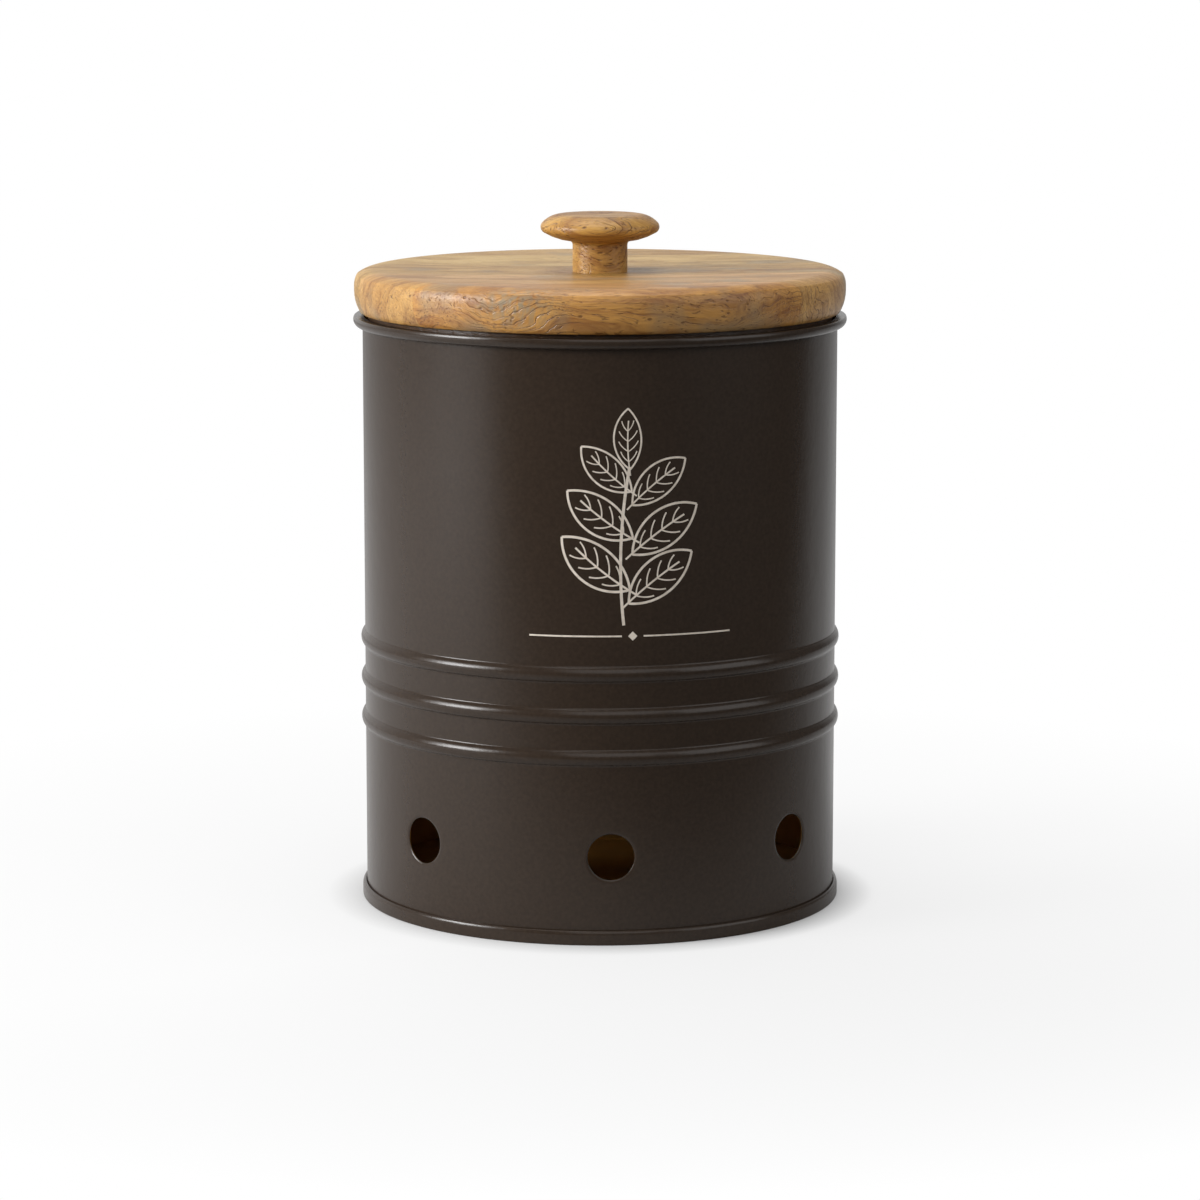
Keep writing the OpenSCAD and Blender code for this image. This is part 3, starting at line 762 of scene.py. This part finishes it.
# Stage: white paper that keeps a faint shadow and grows dark in front and at the right, out of
# sight, a bright backdrop behind, a soft box with a brighter core at the left, and weak ones above,
# at the right and in front.
back_way = (-0.35, 0.94, 0)
paper_white, tree = finish("studio_paper")
rays = add(tree, "ShaderNodeLightPath")
place = add(tree, "ShaderNodeTexCoord")["Object"]
behind = add(tree, "ShaderNodeVectorMath", {0: place, 1: back_way}, operation="DOT_PRODUCT")["Value"]
behind = add(tree, "ShaderNodeMapRange", {
    "Value": behind, "From Min": 0.2, "From Max": 0.9, "To Max": 0.2})[0]
shown = add(tree, "ShaderNodeMath", {0: rays["Is Glossy Ray"], 1: behind}, operation="MULTIPLY")[0]
seen = add(tree, "ShaderNodeMath", {
    0: rays["Is Camera Ray"], 1: rays["Is Transmission Ray"]}, operation="MAXIMUM")[0]
seen = add(tree, "ShaderNodeMath", {0: seen, 1: shown}, operation="MAXIMUM")[0]
reach = add(tree, "ShaderNodeVectorMath", {0: place}, operation="LENGTH")["Value"]
far = add(tree, "ShaderNodeValToRGB", {"Fac": reach}, stops=[
    (0.09, (0.1, 0.1, 0.1, 1)), (0.4, (1, 1, 1, 1)), (0.106, (0.78, 0.78, 0.78, 1))])[0]
lift = add(tree, "ShaderNodeMath", {0: seen, 1: far}, operation="MULTIPLY")[0]
ends = add(tree, "ShaderNodeVectorMath", {0: place, 1: (0.5, -0.87, 0)}, operation="DOT_PRODUCT")["Value"]
tint = add(tree, "ShaderNodeValToRGB", {"Fac": ends}, stops=[
    (0.04, linear("d2d2d2")), (1, linear("707070")), (0.34, linear("4a4a4a"))])[0]
paper = add(tree, "ShaderNodeBsdfDiffuse", {"Color": tint})[0]
white = add(tree, "ShaderNodeEmission", {"Color": (1, 1, 1, 1), "Strength": 1})[0]
mixed = add(tree, "ShaderNodeMixShader", {0: lift, 1: paper, 2: white})[0]
add(tree, "ShaderNodeOutputMaterial", {"Surface": mixed})
ground = bmesh.new()
bmesh.ops.create_grid(ground, x_segments=1, y_segments=1, size=3)
mesh = bpy.data.meshes.new("floor")
ground.to_mesh(mesh)
ground.free()
mesh.materials.append(paper_white)
floor = bpy.data.objects.new("floor", mesh)
bpy.context.collection.objects.link(floor)

world = bpy.data.worlds.new("studio")
world.use_nodes = True
tree = world.node_tree
tree.nodes.clear()
rays = add(tree, "ShaderNodeLightPath")
way = add(tree, "ShaderNodeTexCoord")["Generated"]
back = add(tree, "ShaderNodeVectorMath", {0: way, 1: back_way}, operation="DOT_PRODUCT")["Value"]
room = add(tree, "ShaderNodeMapRange", {
    "Value": back, "From Min": -0.1, "From Max": 0.8, "To Min": 0.16, "To Max": 0.6})[0]
shown = add(tree, "ShaderNodeMapRange", {
    "Value": back, "From Min": 0.4, "From Max": 0.95, "To Min": 0.12, "To Max": 0.85})[0]
shown = add(tree, "ShaderNodeMix", {"Factor": rays["Is Glossy Ray"], "A": room, "B": shown})[0]
seen = add(tree, "ShaderNodeMath", {
    0: rays["Is Camera Ray"], 1: rays["Is Transmission Ray"]}, operation="MAXIMUM")[0]
bright = add(tree, "ShaderNodeMath", {0: shown, 1: seen}, operation="MAXIMUM")[0]
sky = add(tree, "ShaderNodeBackground", {"Color": (1, 1, 1, 1), "Strength": bright})[0]
add(tree, "ShaderNodeOutputWorld", {"Surface": sky})
bpy.context.scene.world = world
lamp_aim = Vector((0, 0, 0.13))


def soft_box(name, bearing_deg, rise_deg, distance, width, height, power):
    """An area light that faces the middle of the bin, its bearing counted from the camera's side."""
    lamp = bpy.data.lights.new(name, "AREA")
    lamp.shape = "RECTANGLE"
    lamp.size = width
    lamp.size_y = height
    lamp.energy = power
    made = bpy.data.objects.new(name, lamp)
    turn_z = radians(bearing_deg)
    rise = radians(rise_deg)
    way = Vector((sin(turn_z) * cos(rise), -cos(turn_z) * cos(rise), sin(rise)))
    made.location = lamp_aim + way * distance
    made.rotation_euler = way.to_track_quat("Z", "Y").to_euler()
    bpy.context.collection.objects.link(made)


soft_box("key_left", -74, 20, 1.9, 1.1, 0.9, 22)
soft_box("key_core", -73, 17, 1.86, 0.6, 0.6, 18)
soft_box("top_soft", -150, 80, 1.6, 1.2, 1.2, 12)
soft_box("fill_right", 60, 25, 1.8, 1.5, 1.3, 9)
soft_box("fill_front", 4, 38, 2.2, 1.6, 1.6, 9)


# Camera: a long lens at the photograph's height, a little left of the middle vent.
camera_turn = radians(-2.6)
camera_pitch = radians(80.571)
camera_reach = 1.6471
camera_z = 0.3870
lens = bpy.data.cameras.new("camera")
lens.sensor_width = 36
lens.lens = 130.61
camera = bpy.data.objects.new("camera", lens)
camera.location = (camera_reach * sin(camera_turn), -camera_reach * cos(camera_turn), camera_z)
camera.rotation_euler = (camera_pitch, 0, camera_turn)
bpy.context.collection.objects.link(camera)
bpy.context.scene.camera = camera
bpy.context.scene.view_settings.view_transform = "Standard"
